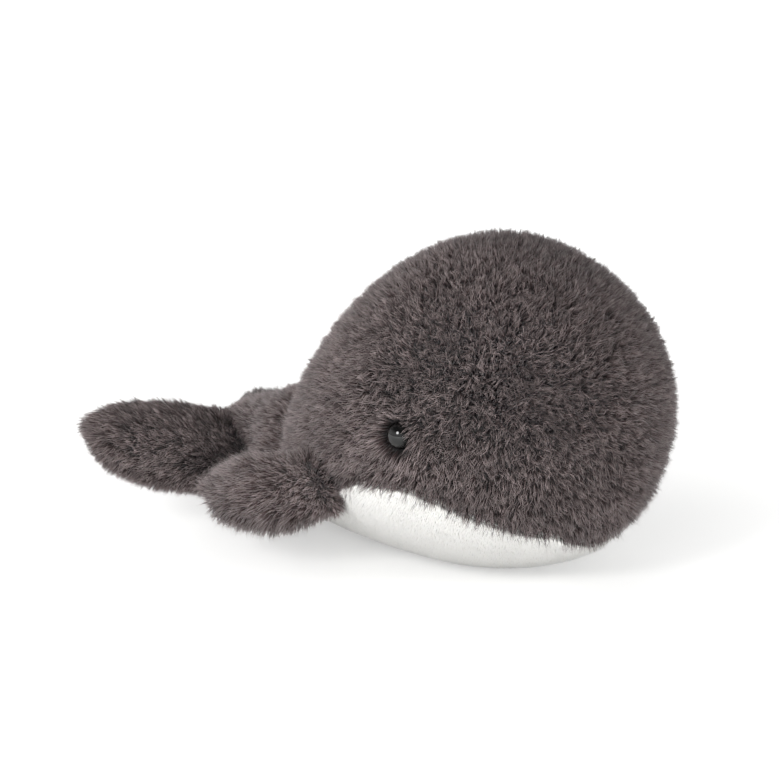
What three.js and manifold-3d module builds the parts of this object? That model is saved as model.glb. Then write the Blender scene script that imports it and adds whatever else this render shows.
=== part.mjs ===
// A small plush whale: a round stuffed body in three sewn panels, two flippers, a tail stock and
// two fluke lobes, safety eyes on washers, and a pouch of plastic pellets low in the belly.
// Millimetres. +X towards the nose, +Y the whale's left, +Z up. The floor is z = 0, and the origin
// is below the middle of the overall length. While it is built, x = 0 is the body's widest section.
// The right side, at -Y, is built first and mirrored for the left.
import * as THREE from 'three';
import { mergeVertices } from 'three/addons/utils/BufferGeometryUtils.js';
import Module from 'manifold-3d';

const wasm = await Module();
wasm.setup();

// Body: the plush ball from the nose to the root of the tail
const bodyWidth = 94;
const bodyHeight = 79.5;
const noseReach = 46.7;
const rumpReach = 50;
const widestHeight = 38;
const noseHeight = 37.2;
const tailRootRadius = 16;
const tailRootHeight = 19;
const standDepth = 0.5;

// Plush: knitted backing with its pile, on the body and on the thinner limbs, the gap at its seams,
// and how far a cutting shape reaches beyond what it cuts
const bodyPlush = 5;
const limbPlush = 3;
const seamGap = 0.3;
const cutOverrun = 6;

// Belly seam: its heights at the nose, at the cheek, below the tail and below the chin. It is level
// at the cheek between two places, levels out at the nose, and then turns down under the chin.
const seamNoseHeight = 14;
const seamCheekHeight = 26.7;
const seamRumpHeight = 5;
const seamChinHeight = 4;
const seamCheekFrontX = 7;
const seamCheekBackX = 0;
const seamNoseX = 33.5;
const seamChinX = 34.5;
const seamChinEndX = 38;
const seamRumpReach = 48;

// Eyes: a glossy dome on a shank, with a washer behind the plush
const eyeX = 9.3;
const eyeHeight = 41;
const eyeRadius = 3.1;
const eyeDome = 2.9;
const eyeStandOut = 0.6;
const shankRadius = 1.1;
const shankBehindWasher = 1.6;
const washerRadius = 4.5;
const washerThickness = 1.4;
const washerSetBack = 0.85;

// Pellet pouch: a lens of cloth, crimped round its rim
const pouchInset = 3.5;
const pouchHeight = 15;
const pouchBehind = 3;
const pouchCloth = 0.8;
const pouchRim = 2.5;

// Tail stock: it lifts about a round root that sits in a socket of the body
const tailSetBack = 4;
const tailLength = 30;
const tailBallRadius = 15.5;
const tailEndHalfWidth = 6.5;
const tailEndHalfHeight = 8.5;
const tailEndHeight = 17;

// Flipper: a paddle hinged on a diagonal seam behind the cheek
const flipper = {
  hingeBehind: 18.4,
  hingeHeight: 24.6,
  hingeStandOff: 1.2,
  seamLeanDegrees: 35,
  sweepDegrees: 17,
  droopDegrees: 19,
  splayDegrees: 6,
  length: 31.2,
  rootHalfChord: 8.9,
  midHalfChord: 10.4,
  rootHalfThickness: 5.6,
  midHalfThickness: 6.4,
  tipRoundShare: 3,
};

// Fluke lobe: a thick paddle swept back from the end of the tail, each one resting at its own angle
const fluke = {
  hingeFromEnd: 12.5,
  hingeOut: 8.8,
  hingeHeight: 16.8,
  seamTurnDegrees: 14,
  tiltDegrees: 38,
  restRightDegrees: -4,
  restLeftDegrees: -32,
  flapLowDegrees: -32,
  flapHighDegrees: 34,
  sweepDegrees: 13,
  length: 39,
  rootHalfChord: 13.4,
  midHalfChord: 13.6,
  rootHalfThickness: 7.4,
  midHalfThickness: 8.5,
  tipRoundShare: 4,
};

// Counts and shares that shape the curves
const bodyShapeShares = { nose: 1.87, noseUnder: 2.85, rump: 1.75, above: 2.1, below: 1.72 };
const limbShapeShares = { mid: 0.55, tipFull: 0.5, section: 2.2 };
const tailShapeShares = { taper: 0.9, endRound: 6, section: 2 };
const bodyRings = 8;
const bodySides = 24;
const limbRings = 5;
const limbSides = 12;
const tailRings = 5;
const tailSides = 14;
const ballSides = 20;
const flapSteps = 6;
const roundSides = 14;
const domeSteps = 4;
const rootSteps = 3;
const seamSteps = 26;
const weldTolerance = 1e-4;

const radians = THREE.MathUtils.degToRad;
const lerp = THREE.MathUtils.lerp;
const smooth = (value) => THREE.MathUtils.smoothstep(value, 0, 1);
const vector = (x, y, z) => new THREE.Vector3(x, y, z);

const plushGrey = material(0x5b5355, 1, 0);
const plushWhite = material(0xe8e6e1, 1, 0);
const fibre = material(0xf2f1ee, 1, 0);
const pouchFabric = material(0xd9d4c8, 0.95, 0);
const pellets = material(0xc9cdd2, 0.5, 0);
const eyeBlack = material(0x0b0b0c, 0.12, 0);
const washerPlastic = material(0xdfe2e4, 0.45, 0);

function material(color, roughness, metalness) {
  return new THREE.MeshStandardMaterial({ color, roughness, metalness });
}

// Closed geometry to a solid that can be joined and cut
function solidFrom(geometry) {
  const bare = geometry.clone();
  bare.deleteAttribute('normal');
  bare.deleteAttribute('uv');
  const merged = mergeVertices(bare, weldTolerance);
  return new wasm.Manifold(new wasm.Mesh({
    numProp: 3,
    vertProperties: new Float32Array(merged.attributes.position.array),
    triVerts: new Uint32Array(merged.index.array),
  }));
}

function geometryFrom(solid) {
  const mesh = solid.getMesh();
  const geometry = new THREE.BufferGeometry();
  geometry.setAttribute('position', new THREE.BufferAttribute(mesh.vertProperties, 3));
  geometry.setIndex(new THREE.BufferAttribute(mesh.triVerts, 1));
  return geometry;
}

function meshFrom(solid, name, surface) {
  const geometry = geometryFrom(solid);
  geometry.computeVertexNormals();
  const mesh = new THREE.Mesh(geometry, surface);
  mesh.name = name;
  return mesh;
}

// The same solid on the other side of the middle plane, with its faces still pointing out
function mirrored(solid) {
  const geometry = geometryFrom(solid);
  geometry.scale(1, -1, 1);
  const corners = geometry.index.array;
  for (let i = 0; i < corners.length; i += 3) {
    [corners[i], corners[i + 1]] = [corners[i + 1], corners[i]];
  }
  return solidFrom(geometry);
}

// A closed skin over rings of points. A ring of one point closes an end.
function loft(rings) {
  const points = rings.flat();
  const corners = [];
  let start = 0;
  for (let i = 0; i + 1 < rings.length; i += 1) {
    const here = rings[i].length;
    const there = rings[i + 1].length;
    const next = start + here;
    const sides = Math.max(here, there);
    for (let j = 0; j < sides; j += 1) {
      const k = (j + 1) % sides;
      if (there > 1) corners.push(start + (here > 1 ? j : 0), next + j, next + k);
      if (here > 1) corners.push(start + j, next + (there > 1 ? k : 0), start + k);
    }
    start = next;
  }
  const geometry = new THREE.BufferGeometry();
  geometry.setFromPoints(points);
  geometry.setIndex(corners);
  return solidFrom(geometry);
}

// A point on a superellipse of the given half sizes: power 2 is an ellipse
function superellipse(angle, halfWidth, halfHeight, power) {
  const along = Math.cos(angle);
  const up = Math.sin(angle);
  const bend = 2 / power;
  return [
    halfWidth * Math.sign(along) * Math.abs(along) ** bend,
    halfHeight * Math.sign(up) * Math.abs(up) ** bend,
  ];
}

// Body section: place goes from -1 at the nose through 0, the widest, to 1 at the tail root
function bodySection(place, grow) {
  if (place < 0) {
    const angle = (1 + place) * Math.PI / 2;
    const round = Math.sin(angle) ** (2 / bodyShapeShares.nose);
    const under = Math.sin(angle) ** (2 / bodyShapeShares.noseUnder);
    const middle = lerp(noseHeight, widestHeight, round);
    return {
      x: (noseReach + grow) * Math.cos(angle) ** (2 / bodyShapeShares.nose),
      halfWidth: (bodyWidth / 2 + grow) * round,
      middle,
      above: (bodyHeight - widestHeight + grow) * round,
      below: (widestHeight + standDepth + grow) * under,
    };
  }
  const fullness = 1 - place ** bodyShapeShares.rump;
  const middle = lerp(tailRootHeight, widestHeight, fullness);
  return {
    x: -rumpReach * place,
    halfWidth: lerp(tailRootRadius, bodyWidth / 2, fullness) + grow,
    middle,
    above: lerp(tailRootHeight + tailRootRadius, bodyHeight, fullness) - middle + grow,
    below: middle - lerp(tailRootHeight - tailRootRadius, -standDepth, fullness) + grow,
  };
}

function bodyRing(section) {
  return Array.from({ length: bodySides }, (_, side) => {
    const angle = side / bodySides * 2 * Math.PI;
    const upper = angle < Math.PI;
    const [y, z] = superellipse(
      angle, section.halfWidth, upper ? section.above : section.below,
      upper ? bodyShapeShares.above : bodyShapeShares.below,
    );
    return vector(section.x, y, section.middle + z);
  });
}

// The whole body, grown outwards or, for its inner faces, inwards
function bodySolid(grow, rumpOverrun) {
  const rings = [[vector(noseReach + grow, 0, noseHeight)]];
  for (let ring = 1; ring <= 2 * bodyRings; ring += 1) {
    rings.push(bodyRing(bodySection(ring / bodyRings - 1, grow)));
  }
  const end = bodySection(1, grow);
  if (rumpOverrun > 0) rings.push(bodyRing({ ...end, x: end.x - rumpOverrun }));
  rings.push([vector(end.x - rumpOverrun, 0, end.middle)]);
  return loft(rings);
}

// Half the width at a length and a height of the body, or of its inner face where grow is less than 0
function bodySide(x, z, grow = 0) {
  const place = x > 0
    ? 2 / Math.PI * Math.acos((x / (noseReach + grow)) ** (bodyShapeShares.nose / 2)) - 1
    : -x / rumpReach;
  const section = bodySection(place, grow);
  const upper = z > section.middle;
  const power = upper ? bodyShapeShares.above : bodyShapeShares.below;
  const share = Math.abs(z - section.middle) / (upper ? section.above : section.below);
  return section.halfWidth * (1 - share ** power) ** (1 / power);
}

// A place on the body's right side, with its outward direction
function sidePlace(x, z) {
  const probe = shankRadius;
  const point = vector(x, -bodySide(x, z), z);
  const along = vector(2 * probe, bodySide(x - probe, z) - bodySide(x + probe, z), 0);
  const up = vector(0, bodySide(x, z - probe) - bodySide(x, z + probe), 2 * probe);
  return { point, out: along.cross(up).normalize() };
}

// A box between two corners
function boxSolid(low, high) {
  const geometry = new THREE.BoxGeometry(high.x - low.x, high.y - low.y, high.z - low.z);
  geometry.translate((low.x + high.x) / 2, (low.y + high.y) / 2, (low.z + high.z) / 2);
  return solidFrom(geometry);
}

// Everything below the floor
function belowFloor() {
  const reach = noseReach + rumpReach + tailLength + fluke.length;
  return boxSolid(vector(-reach, -reach, -reach), vector(reach, reach, 0));
}

// Height of the belly seam along the body
function seamHeight(x) {
  const ahead = smooth((x - seamCheekFrontX) / (seamNoseX - seamCheekFrontX));
  const chin = smooth((x - seamChinX) / (seamChinEndX - seamChinX));
  const behind = smooth((seamCheekBackX - x) / (seamCheekBackX + seamRumpReach));
  const front = lerp(lerp(seamCheekHeight, seamNoseHeight, ahead), seamChinHeight, chin);
  return lerp(front, seamRumpHeight, behind);
}

// Everything below the belly seam, shifted by a part of the gap
function belowSeam(shift) {
  const front = noseReach + cutOverrun;
  const back = -rumpReach - cutOverrun;
  const outline = new THREE.Shape();
  outline.moveTo(back, -cutOverrun);
  outline.lineTo(front, -cutOverrun);
  for (let step = 0; step <= seamSteps; step += 1) {
    const x = lerp(front, back, step / seamSteps);
    outline.lineTo(x, seamHeight(x) + shift);
  }
  const depth = bodyWidth + 2 * cutOverrun;
  const geometry = new THREE.ExtrudeGeometry(outline, { depth, bevelEnabled: false });
  geometry.translate(0, 0, -depth / 2);
  geometry.rotateX(Math.PI / 2);
  return solidFrom(geometry);
}

// A spindle about local Y: the round root that turns with a limb
function spindle(halfLength, radius) {
  const profile = Array.from({ length: 2 * rootSteps + 1 }, (_, step) => {
    const angle = (step / rootSteps - 1) * Math.PI / 2;
    const atEnd = step === 0 || step === 2 * rootSteps;
    return new THREE.Vector2(atEnd ? 0 : radius * Math.cos(angle), halfLength * Math.sin(angle));
  });
  return new THREE.LatheGeometry(profile, limbSides);
}

// A paddle in its own frame: X outwards from the hinge, Y along it to the leading edge, Z through
// the thickness. share 0 is at the hinge and 1 at the tip, where the paddle rounds off.
function paddleSection(limb, share, grow) {
  const { mid, tipFull } = limbShapeShares;
  const swell = smooth(Math.min(share / mid, 1));
  const closing = Math.max(1 - share ** limb.tipRoundShare, 0) ** tipFull;
  return {
    x: (limb.length + grow) * share * Math.cos(radians(limb.sweepDegrees)),
    y: -(limb.length + grow) * share * Math.sin(radians(limb.sweepDegrees)),
    halfChord: (lerp(limb.rootHalfChord, limb.midHalfChord, swell) + grow) * closing,
    halfThickness: (lerp(limb.rootHalfThickness, limb.midHalfThickness, swell) + grow) * closing,
  };
}

function paddle(limb, grow) {
  const rings = [];
  const tip = paddleSection(limb, 1, grow);
  rings.push([vector(tip.x, tip.y, 0)]);
  for (let ring = 1; ring <= limbRings; ring += 1) {
    const share = Math.cos(ring / limbRings * Math.PI / 2);
    const section = paddleSection(limb, share, grow);
    rings.push(Array.from({ length: limbSides }, (_, side) => {
      const angle = side / limbSides * 2 * Math.PI;
      const [y, z] = superellipse(
        angle, section.halfChord, section.halfThickness, limbShapeShares.section,
      );
      return vector(section.x, section.y + y, z);
    }));
  }
  rings.push([vector(0, 0, 0)]);
  return loft(rings);
}

// Carries a geometry or a solid to another frame
function placed(geometryOrSolid, matrix) {
  const isGeometry = geometryOrSolid.isBufferGeometry;
  const geometry = isGeometry ? geometryOrSolid : geometryFrom(geometryOrSolid);
  return solidFrom(geometry.applyMatrix4(matrix));
}

// The limb's frame from its hinge point, its hinge direction and roughly where it points
function limbFrame(point, hinge, towards) {
  const thickness = towards.clone().cross(hinge).normalize();
  const outward = hinge.clone().cross(thickness).normalize();
  return new THREE.Matrix4().makeBasis(outward, hinge, thickness).setPosition(point);
}

// The round root that a limb turns on
function limbRoot(limb, frame, grow) {
  return placed(spindle(limb.rootHalfChord + grow, limb.rootHalfThickness + grow), frame);
}

// The groove that a limb's root turns in, with its flats clear of the root's corners
function limbGroove(limb, frame) {
  const halfChord = limb.rootHalfChord + seamGap;
  const radius = (limb.rootHalfThickness + seamGap) / Math.cos(Math.PI / limbSides);
  return placed(spindle(halfChord, radius), frame);
}

// What carries a limb, as the limb meets it all the way from its lowest flap to its highest
function sweptCarrier(carrier, frame, low, high) {
  let swept = carrier;
  for (let step = 0; step <= flapSteps; step += 1) {
    const turn = new THREE.Matrix4().makeRotationY(radians(lerp(low, high, step / flapSteps)));
    const matrix = frame.clone().multiply(turn).multiply(frame.clone().invert());
    swept = swept.add(placed(carrier, matrix));
  }
  return swept;
}

// The two skins and the stuffing of a limb, cut by what carries it
function limbPieces(limb, frame, carrier) {
  const size = limb.length + limb.midHalfChord;
  const upperHalf = boxSolid(vector(-size, -size, seamGap / 2), vector(size, size, size));
  const underHalf = boxSolid(vector(-size, -size, -size), vector(size, size, -seamGap / 2));
  const whole = placed(paddle(limb, 0), frame).subtract(carrier).add(limbRoot(limb, frame, 0));
  const hollowGrow = -limbPlush;
  const hollow = placed(paddle(limb, hollowGrow), frame).add(limbRoot(limb, frame, hollowGrow));
  const fillGrow = -limbPlush - seamGap;
  const fill = placed(paddle(limb, fillGrow), frame).add(limbRoot(limb, frame, fillGrow));
  const skin = whole.subtract(hollow);
  return {
    upper: skin.intersect(placed(upperHalf, frame)),
    under: skin.intersect(placed(underHalf, frame)),
    stuffing: fill.intersect(whole),
  };
}

// Flipper: its hinge lies on the body's side, leaning back as it rises
const flipperPlace = sidePlace(-flipper.hingeBehind, flipper.hingeHeight);
const flipperPoint = flipperPlace.point.clone().addScaledVector(flipperPlace.out, flipper.hingeStandOff);
const flipperBack = vector(-1, 0, 0).projectOnPlane(flipperPlace.out).normalize();
const flipperDown = flipperPlace.out.clone().cross(flipperBack).normalize();
const flipperLean = radians(flipper.seamLeanDegrees);
const flipperHinge = flipperDown.clone().applyAxisAngle(flipperPlace.out, flipperLean);
const flipperTowards = vector(
  -1, -Math.sin(radians(flipper.splayDegrees)), -Math.sin(radians(flipper.droopDegrees)),
);
const flipperFrame = limbFrame(flipperPoint, flipperHinge, flipperTowards);

// Tail: its hinge runs across the body, just behind the body's end
const tailPoint = vector(-rumpReach - tailSetBack, 0, tailRootHeight);

// Fluke: its hinge runs along the side of the tail's end
const flukeHingeX = tailPoint.x - tailLength + fluke.hingeFromEnd;
const flukePoint = vector(flukeHingeX, -fluke.hingeOut, fluke.hingeHeight);
const flukeTurn = radians(fluke.seamTurnDegrees);
const flukeTilt = radians(fluke.tiltDegrees);
const flukeHinge = vector(Math.cos(flukeTurn), -Math.sin(flukeTurn), -Math.sin(flukeTilt)).normalize();

// A lobe's frame at a flap angle about that hinge
function flukeFrame(rise) {
  const towards = vector(0, -Math.cos(radians(rise)), Math.sin(radians(rise)));
  return limbFrame(flukePoint, flukeHinge, towards);
}

// The ball that the tail turns on, its poles on the hinge
function tailBall(radius) {
  const ball = new THREE.SphereGeometry(radius, ballSides, ballSides / 2);
  return solidFrom(ball.translate(tailPoint.x, tailPoint.y, tailPoint.z));
}

// The socket for it in the body, with its flats clear of the ball's corners
function tailSocket() {
  return tailBall((tailBallRadius + seamGap) / Math.cos(Math.PI / ballSides));
}

// Tail stock: a ball at its hinge that tapers into a flattened end
function tailSolid(grow) {
  const { taper, endRound, section: power } = tailShapeShares;
  const end = vector(tailPoint.x - tailLength - grow, 0, tailEndHeight);
  const rings = [[tailPoint.clone()]];
  for (let ring = 0; ring < tailRings; ring += 1) {
    const share = Math.sin(ring / tailRings * Math.PI / 2);
    const closing = (1 - share ** endRound) ** (1 / 2);
    const halfWidth = (lerp(tailBallRadius, tailEndHalfWidth, share ** taper) + grow) * closing;
    const halfHeight = (lerp(tailBallRadius, tailEndHalfHeight, share ** taper) + grow) * closing;
    const middle = tailPoint.clone().lerp(end, share);
    rings.push(Array.from({ length: tailSides }, (_, side) => {
      const angle = side / tailSides * 2 * Math.PI;
      const [y, z] = superellipse(angle, halfWidth, halfHeight, power);
      return vector(middle.x, y, middle.z + z);
    }));
  }
  rings.push([end]);
  return loft(rings).add(tailBall(tailBallRadius + grow));
}

// An eye about local Z, its dome outwards from the pile and its shank behind it
const eyePlace = sidePlace(eyeX, eyeHeight);
const eyeBase = eyeStandOut - eyeDome;
const washerTop = -bodyPlush - washerSetBack;

function eyeFrame() {
  const turn = new THREE.Quaternion().setFromUnitVectors(vector(0, 0, 1), eyePlace.out);
  return new THREE.Matrix4().compose(eyePlace.point, turn, vector(1, 1, 1));
}

// A turned solid about local Z from radius and height pairs
function turned(pairs) {
  const profile = pairs.map(([radius, height]) => new THREE.Vector2(radius, height));
  return new THREE.LatheGeometry(profile, roundSides).rotateX(Math.PI / 2);
}

function eyeSolid() {
  const dome = Array.from({ length: domeSteps }, (_, step) => {
    const angle = step / domeSteps * Math.PI / 2;
    return [eyeRadius * Math.cos(angle), eyeBase + eyeDome * Math.sin(angle)];
  });
  const shankEnd = washerTop - washerThickness - shankBehindWasher;
  return turned([
    [0, shankEnd], [shankRadius, shankEnd], [shankRadius, eyeBase], ...dome, [0, eyeStandOut],
  ]);
}

function eyePocket() {
  const radius = eyeRadius + seamGap;
  const hole = shankRadius + seamGap;
  const floor = eyeBase - seamGap;
  const behind = washerTop - cutOverrun;
  return turned([
    [0, behind], [hole, behind], [hole, floor], [radius, floor], [radius, cutOverrun], [0, cutOverrun],
  ]);
}

function washerSolid() {
  const hole = shankRadius + seamGap;
  const back = washerTop - washerThickness;
  return turned([
    [hole, back], [washerRadius, back], [washerRadius, washerTop], [hole, washerTop], [hole, back],
  ]);
}

function washerPocket() {
  const radius = washerRadius + seamGap;
  const shank = shankRadius + seamGap;
  const back = washerTop - washerThickness - seamGap;
  const end = back - shankBehindWasher;
  return turned([
    [0, end], [shank, end], [shank, back], [radius, back], [radius, cutOverrun], [0, cutOverrun],
  ]);
}

// The pouch's lens about its own middle: half of it above and half below its rim, which stays
// clear of the belly's inner face
const pouchMiddle = bodyPlush + seamGap + pouchHeight / 2;
const pouchRadius = bodySide(-pouchBehind, pouchMiddle, -bodyPlush) - pouchRim - pouchInset;

function lens(radius, halfHeight) {
  const profile = Array.from({ length: 2 * domeSteps + 1 }, (_, step) => {
    const angle = (step / domeSteps - 1) * Math.PI / 2;
    const atEnd = step === 0 || step === 2 * domeSteps;
    return [atEnd ? 0 : radius * Math.cos(angle), halfHeight * Math.sin(angle)];
  });
  return solidFrom(turned(profile).translate(-pouchBehind, 0, pouchMiddle));
}

function disc(radius, low, high) {
  return solidFrom(turned([[0, low], [radius, low], [radius, high], [0, high]]).translate(-pouchBehind, 0, 0));
}

function pouchPieces() {
  const rimRadius = pouchRadius + pouchRim;
  const rimHalfHeight = pouchCloth + seamGap / 2;
  const rim = disc(rimRadius, pouchMiddle - rimHalfHeight, pouchMiddle + rimHalfHeight);
  const bag = lens(pouchRadius, pouchHeight / 2).add(rim);
  const hollow = lens(pouchRadius - pouchCloth, pouchHeight / 2 - pouchCloth);
  const cloth = bag.subtract(hollow);
  const above = disc(rimRadius + cutOverrun, pouchMiddle + seamGap / 2, pouchMiddle + pouchHeight);
  const below = disc(rimRadius + cutOverrun, pouchMiddle - pouchHeight, pouchMiddle - seamGap / 2);
  const fillRadius = pouchRadius - pouchCloth - seamGap;
  return {
    upper: cloth.intersect(above),
    lower: cloth.intersect(below),
    fill: lens(fillRadius, pouchHeight / 2 - pouchCloth - seamGap),
  };
}

// The room that the stuffing leaves for the pouch, open below
function pouchRoom() {
  const rimRadius = pouchRadius + pouchRim + seamGap;
  const top = pouchMiddle + pouchCloth + 2 * seamGap;
  return lens(pouchRadius + seamGap, pouchHeight / 2 + seamGap).add(disc(rimRadius, -cutOverrun, top));
}

function buildBody() {
  const floor = belowFloor();
  const outer = bodySolid(0, 0).subtract(floor);
  const grooveRight = limbGroove(flipper, flipperFrame);
  const sockets = grooveRight.add(mirrored(grooveRight)).add(tailSocket());
  const shell = outer.subtract(bodySolid(-bodyPlush, cutOverrun)).subtract(sockets);
  const eyeHole = placed(eyePocket(), eyeFrame());
  const belly = shell.intersect(belowSeam(-seamGap / 2));
  const rightHalf = boxSolid(
    vector(-rumpReach - cutOverrun, -bodyWidth, -cutOverrun),
    vector(noseReach + cutOverrun, -seamGap / 2, bodyHeight + cutOverrun),
  );
  const rightPanel = shell.subtract(belowSeam(seamGap / 2)).intersect(rightHalf).subtract(eyeHole);
  const washerRight = placed(washerPocket(), eyeFrame());
  const stuffing = bodySolid(-bodyPlush - seamGap, 0).intersect(outer).subtract(sockets)
    .subtract(pouchRoom()).subtract(washerRight).subtract(mirrored(washerRight));
  const pouch = pouchPieces();
  const eye = placed(eyeSolid(), eyeFrame());
  const washer = placed(washerSolid(), eyeFrame());
  return [
    meshFrom(rightPanel, 'side_panel_right', plushGrey),
    meshFrom(mirrored(rightPanel), 'side_panel_left', plushGrey),
    meshFrom(belly, 'belly_panel', plushWhite),
    meshFrom(stuffing, 'body_stuffing', fibre),
    meshFrom(pouch.upper, 'pellet_pouch_upper', pouchFabric),
    meshFrom(pouch.lower, 'pellet_pouch_lower', pouchFabric),
    meshFrom(pouch.fill, 'pellet_fill', pellets),
    meshFrom(eye, 'eye_right', eyeBlack),
    meshFrom(mirrored(eye), 'eye_left', eyeBlack),
    meshFrom(washer, 'eye_washer_right', washerPlastic),
    meshFrom(mirrored(washer), 'eye_washer_left', washerPlastic),
  ];
}

// A limb's meshes, from its right-hand pieces
function limbMeshes(name, side, pieces) {
  const turn = side === 'left' ? mirrored : (solid) => solid;
  return [
    meshFrom(turn(pieces.upper), `${name}_upper_${side}`, plushGrey),
    meshFrom(turn(pieces.under), `${name}_under_${side}`, plushGrey),
    meshFrom(turn(pieces.stuffing), `${name}_stuffing_${side}`, fibre),
  ];
}

function buildFlippers() {
  const pieces = limbPieces(flipper, flipperFrame, bodySolid(seamGap, 0));
  return ['right', 'left'].flatMap((side) => limbMeshes('flipper', side, pieces));
}

function buildFlukes() {
  const rises = { right: fluke.restRightDegrees, left: fluke.restLeftDegrees };
  return Object.entries(rises).flatMap(([side, rise]) => {
    const frame = flukeFrame(rise);
    const low = fluke.flapLowDegrees - rise;
    const high = fluke.flapHighDegrees - rise;
    const carrier = sweptCarrier(tailSolid(seamGap), frame, low, high);
    return limbMeshes('fluke', side, limbPieces(fluke, frame, carrier));
  });
}

function buildTail() {
  const grooveRight = limbGroove(fluke, flukeFrame(0));
  const grooves = grooveRight.add(mirrored(grooveRight));
  const outer = tailSolid(0).subtract(grooves);
  const skin = outer.subtract(tailSolid(-limbPlush));
  const back = tailPoint.x - tailLength - cutOverrun;
  const front = tailPoint.x + tailBallRadius + cutOverrun;
  const rightHalf = boxSolid(
    vector(back, -bodyWidth, -cutOverrun), vector(front, -seamGap / 2, bodyHeight),
  );
  const right = skin.intersect(rightHalf);
  const stuffing = tailSolid(-limbPlush - seamGap).intersect(outer);
  return [
    meshFrom(right, 'tail_panel_right', plushGrey),
    meshFrom(mirrored(right), 'tail_panel_left', plushGrey),
    meshFrom(stuffing, 'tail_stuffing', fibre),
  ];
}

const whale = new THREE.Group();
whale.name = 'plush_whale';
whale.add(...buildBody(), ...buildFlippers(), ...buildTail(), ...buildFlukes());

// The origin goes below the middle of the overall length
const overall = new THREE.Box3().setFromObject(whale);
whale.position.x = -(overall.min.x + overall.max.x) / 2;

export default whale;
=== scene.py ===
"""A small plush whale on a white studio floor: knitted backings with their pile as fine strands,
glossy safety eyes, fibre fill and a pouch of pellets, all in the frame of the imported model."""

import math

import bmesh
import bpy
import numpy as np
from mathutils import Matrix, Vector, kdtree


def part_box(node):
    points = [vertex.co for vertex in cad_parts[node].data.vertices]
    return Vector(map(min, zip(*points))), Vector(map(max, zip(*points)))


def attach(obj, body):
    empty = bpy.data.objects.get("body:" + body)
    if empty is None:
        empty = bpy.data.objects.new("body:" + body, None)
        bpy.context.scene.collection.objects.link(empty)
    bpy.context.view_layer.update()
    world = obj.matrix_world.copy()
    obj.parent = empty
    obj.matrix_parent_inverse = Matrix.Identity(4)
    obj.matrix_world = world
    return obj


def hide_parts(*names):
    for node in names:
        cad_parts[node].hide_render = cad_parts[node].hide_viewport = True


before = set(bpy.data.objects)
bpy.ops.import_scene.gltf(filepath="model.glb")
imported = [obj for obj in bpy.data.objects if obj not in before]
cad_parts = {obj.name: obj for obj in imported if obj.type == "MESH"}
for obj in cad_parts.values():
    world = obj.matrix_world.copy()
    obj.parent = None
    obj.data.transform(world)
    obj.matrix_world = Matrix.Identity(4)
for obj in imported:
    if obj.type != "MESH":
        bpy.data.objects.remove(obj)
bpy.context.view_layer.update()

MM = 0.001
SEED = 7

# Sizes of the construction, in millimetres, with x = 0 at the body's widest section
BODY_WIDTH = 94
BODY_HEIGHT = 79.5
NOSE_REACH = 46.7
RUMP_REACH = 50
WIDEST_HEIGHT = 38
NOSE_HEIGHT = 37.2
TAIL_ROOT_RADIUS = 16
TAIL_ROOT_HEIGHT = 19
STAND_DEPTH = 0.5
SEAM_GAP = 0.3
BODY_PLUSH = 5
LIMB_PLUSH = 3
NOSE_POWER = 1.87
CHIN_POWER = 2.85
RUMP_POWER = 1.75
UPPER_POWER = 2.1
LOWER_POWER = 1.72

# The grey pile covers the front end of the white one by this much below the chin
CHIN_OVERHANG = 2.4
SEAM_NOSE_HEIGHT = 14
SEAM_CHEEK_HEIGHT = 26.7
SEAM_RUMP_HEIGHT = 5
SEAM_CHIN_HEIGHT = 4
SEAM_CHEEK_FRONT_X = 7
SEAM_NOSE_X = 33.5
SEAM_CHIN_X = 34.5 - CHIN_OVERHANG
SEAM_CHIN_END_X = 38 - CHIN_OVERHANG
SEAM_RUMP_REACH = 48

EYE_X = 9.3
EYE_HEIGHT = 41
EYE_RADIUS = 3.1
EYE_DOME = 2.9
EYE_STAND_OUT = 0.6
EYE_EDGE = 0.25
SHANK_RADIUS = 1.1
SHANK_BEHIND_WASHER = 1.6
SHANK_TIP = 0.3
SHANK_RING = 0.8
SHANK_GROOVE = 0.86
WASHER_RADIUS = 4.5
WASHER_THICKNESS = 1.4
WASHER_RIM = 0.9
WASHER_EDGE = 0.25
WASHER_SET_BACK = 0.85
WASHER_TOP = -BODY_PLUSH - WASHER_SET_BACK
WASHER_BACK = WASHER_TOP - WASHER_THICKNESS

POUCH_INSET = 3.5
POUCH_HEIGHT = 15
POUCH_BEHIND = 3
POUCH_CLOTH = 0.8
POUCH_RIM = 2.5
POUCH_MIDDLE = BODY_PLUSH + SEAM_GAP + POUCH_HEIGHT / 2
PUCKERS = 24
PUCKER_HEIGHT = 0.25
PELLET_RADIUS = 1.45
PELLET_APART = 2.05
PELLET_NUDGE = 0.04

TAIL_LENGTH = 30
TAIL_BALL_RADIUS = 15.5
TAIL_END_HALF_WIDTH = 6.5
TAIL_END_HALF_HEIGHT = 8.5
TAIL_END_HEIGHT = 17
TAIL_TAPER = 0.9
TAIL_END_ROUND = 6
TAIL_SET_BACK = 4
TAIL_HINGE_X = -RUMP_REACH - TAIL_SET_BACK
TAIL_SOCKET = np.array([TAIL_HINGE_X, 0, TAIL_ROOT_HEIGHT])

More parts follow.
